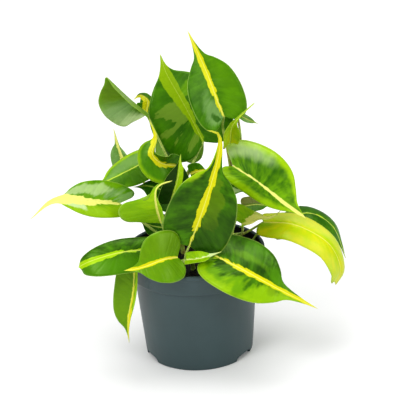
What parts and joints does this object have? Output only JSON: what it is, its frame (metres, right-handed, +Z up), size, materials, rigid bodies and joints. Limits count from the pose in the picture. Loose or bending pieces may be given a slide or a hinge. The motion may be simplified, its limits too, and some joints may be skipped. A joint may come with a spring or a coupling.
{
  "type": "potted philodendron",
  "caption": "Bushy heart-leaf climbing plant with green and yellow variegated leaves on thin stalks, growing from dark peat in a round tapered nursery pot with a deep collar rim.",
  "frame": {"origin": "centre of the pot's foot, on the surface it stands on", "axes": "+Z up along the pot's axis, -Y towards the plant's fullest side, +X to the right when seen from that side"},
  "size_m": [0.262, 0.1742, 0.279],
  "materials": {
    "pot": "satin slate-grey moulded plastic, darker inside",
    "soil": "rough, near-black damp peat",
    "leaf": "waxy gloss, mid-green with a yellow-lime stripe along the midrib",
    "stem": "satin yellow-green stalk"
  },
  "bodies": {
    "root": {"pot": "pot", "soil": "soil", "stem_right": "stem", "stem_centre": "stem", "stem_left": "stem", "stem_front": "stem", "leaf_crown_right": "leaf", "leaf_crown_left": "leaf", "leaf_upper_left": "leaf", "leaf_upper_rear": "leaf", "leaf_far_left": "leaf", "leaf_twisted": "leaf", "leaf_middle_left": "leaf", "leaf_left_long": "leaf", "leaf_front_funnel": "leaf", "leaf_centre_spear": "leaf", "leaf_front_heart": "leaf", "leaf_right_glossy": "leaf", "leaf_right_drooping": "leaf", "leaf_right_rear": "leaf", "leaf_right_inner": "leaf", "leaf_right_funnel": "leaf", "leaf_front_right": "leaf", "leaf_front_left": "leaf", "leaf_left_low": "leaf", "leaf_left_hanging": "leaf", "leaf_inner_left": "leaf", "leaf_front_new": "leaf", "leaf_crown_sheath": "leaf", "leaf_crown_sliver": "leaf", "leaf_inner_centre": "leaf", "leaf_inner_dark": "leaf", "leaf_inner_right": "leaf", "leaf_rear_low": "leaf", "leaf_rear_high": "leaf", "petiole_crown_right": "stem", "petiole_crown_left": "stem", "petiole_upper_left": "stem", "petiole_upper_rear": "stem", "petiole_far_left": "stem", "petiole_twisted": "stem", "petiole_middle_left": "stem", "petiole_left_long": "stem", "petiole_front_funnel": "stem", "petiole_centre_spear": "stem", "petiole_front_heart": "stem", "petiole_right_glossy": "stem", "petiole_right_drooping": "stem", "petiole_right_rear": "stem", "petiole_right_inner": "stem", "petiole_right_funnel": "stem", "petiole_front_right": "stem", "petiole_front_left": "stem", "petiole_left_low": "stem", "petiole_left_hanging": "stem", "petiole_inner_left": "stem", "petiole_crown_sliver": "stem", "petiole_inner_right": "stem", "petiole_rear_low": "stem", "petiole_rear_high": "stem"}
  },
  "joints": []
}
